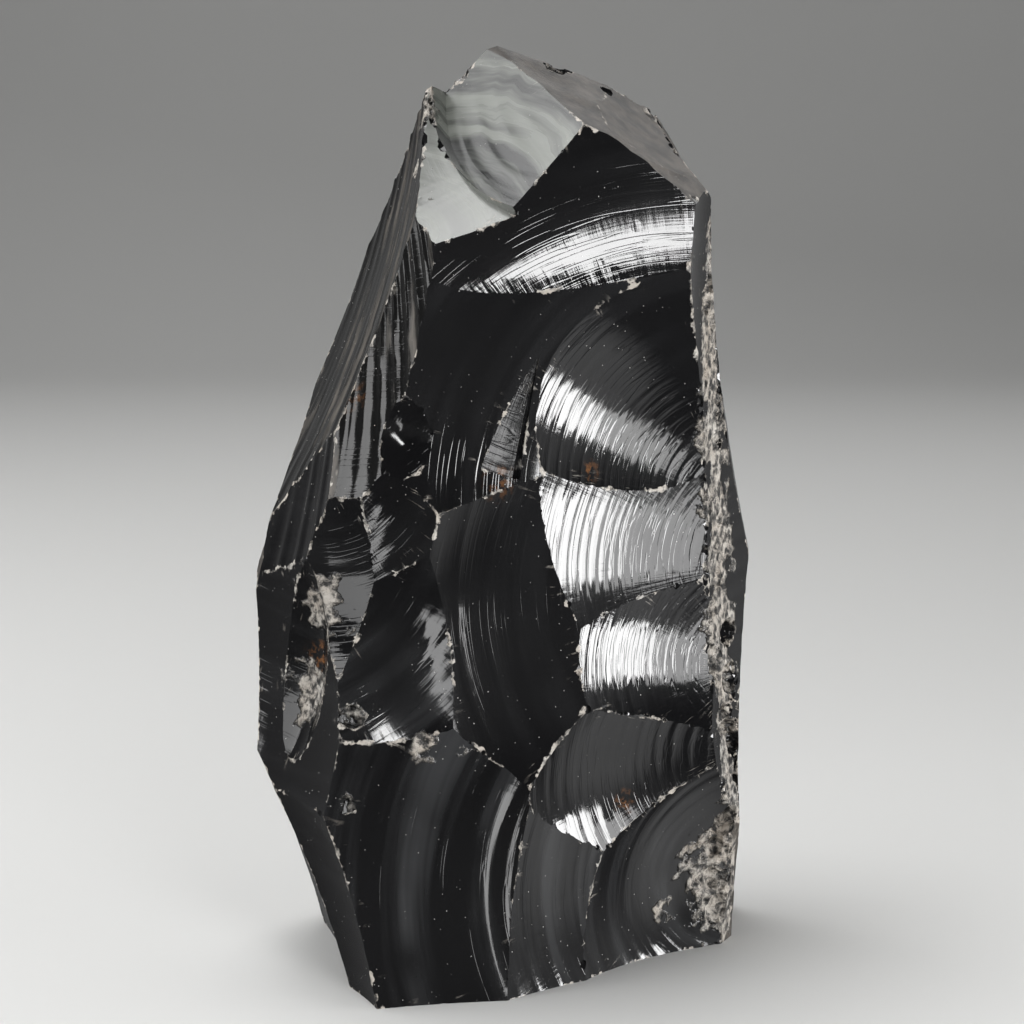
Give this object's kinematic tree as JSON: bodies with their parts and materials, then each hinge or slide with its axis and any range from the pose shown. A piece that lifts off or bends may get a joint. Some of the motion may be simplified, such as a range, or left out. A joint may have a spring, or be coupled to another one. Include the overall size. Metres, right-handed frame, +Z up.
{
  "type": "obsidian chunk",
  "caption": "Tall, narrowing block of black volcanic glass with shell-shaped fracture scars, sharp ridges and a crushed edge, standing on a flat broken foot.",
  "frame": {"origin": "centre of the bounding box in plan, on the plane that the stone stands on", "axes": "+Z up along the stone's height, -Y towards the scarred front face, +X to the viewer's right"},
  "size_m": [0.1273, 0.1026, 0.233],
  "materials": {
    "obsidian": "black natural glass, glossy on the fracture scars, grey-white where an edge is crushed"
  },
  "bodies": {
    "root": {"obsidian_chunk": "obsidian"}
  },
  "joints": []
}
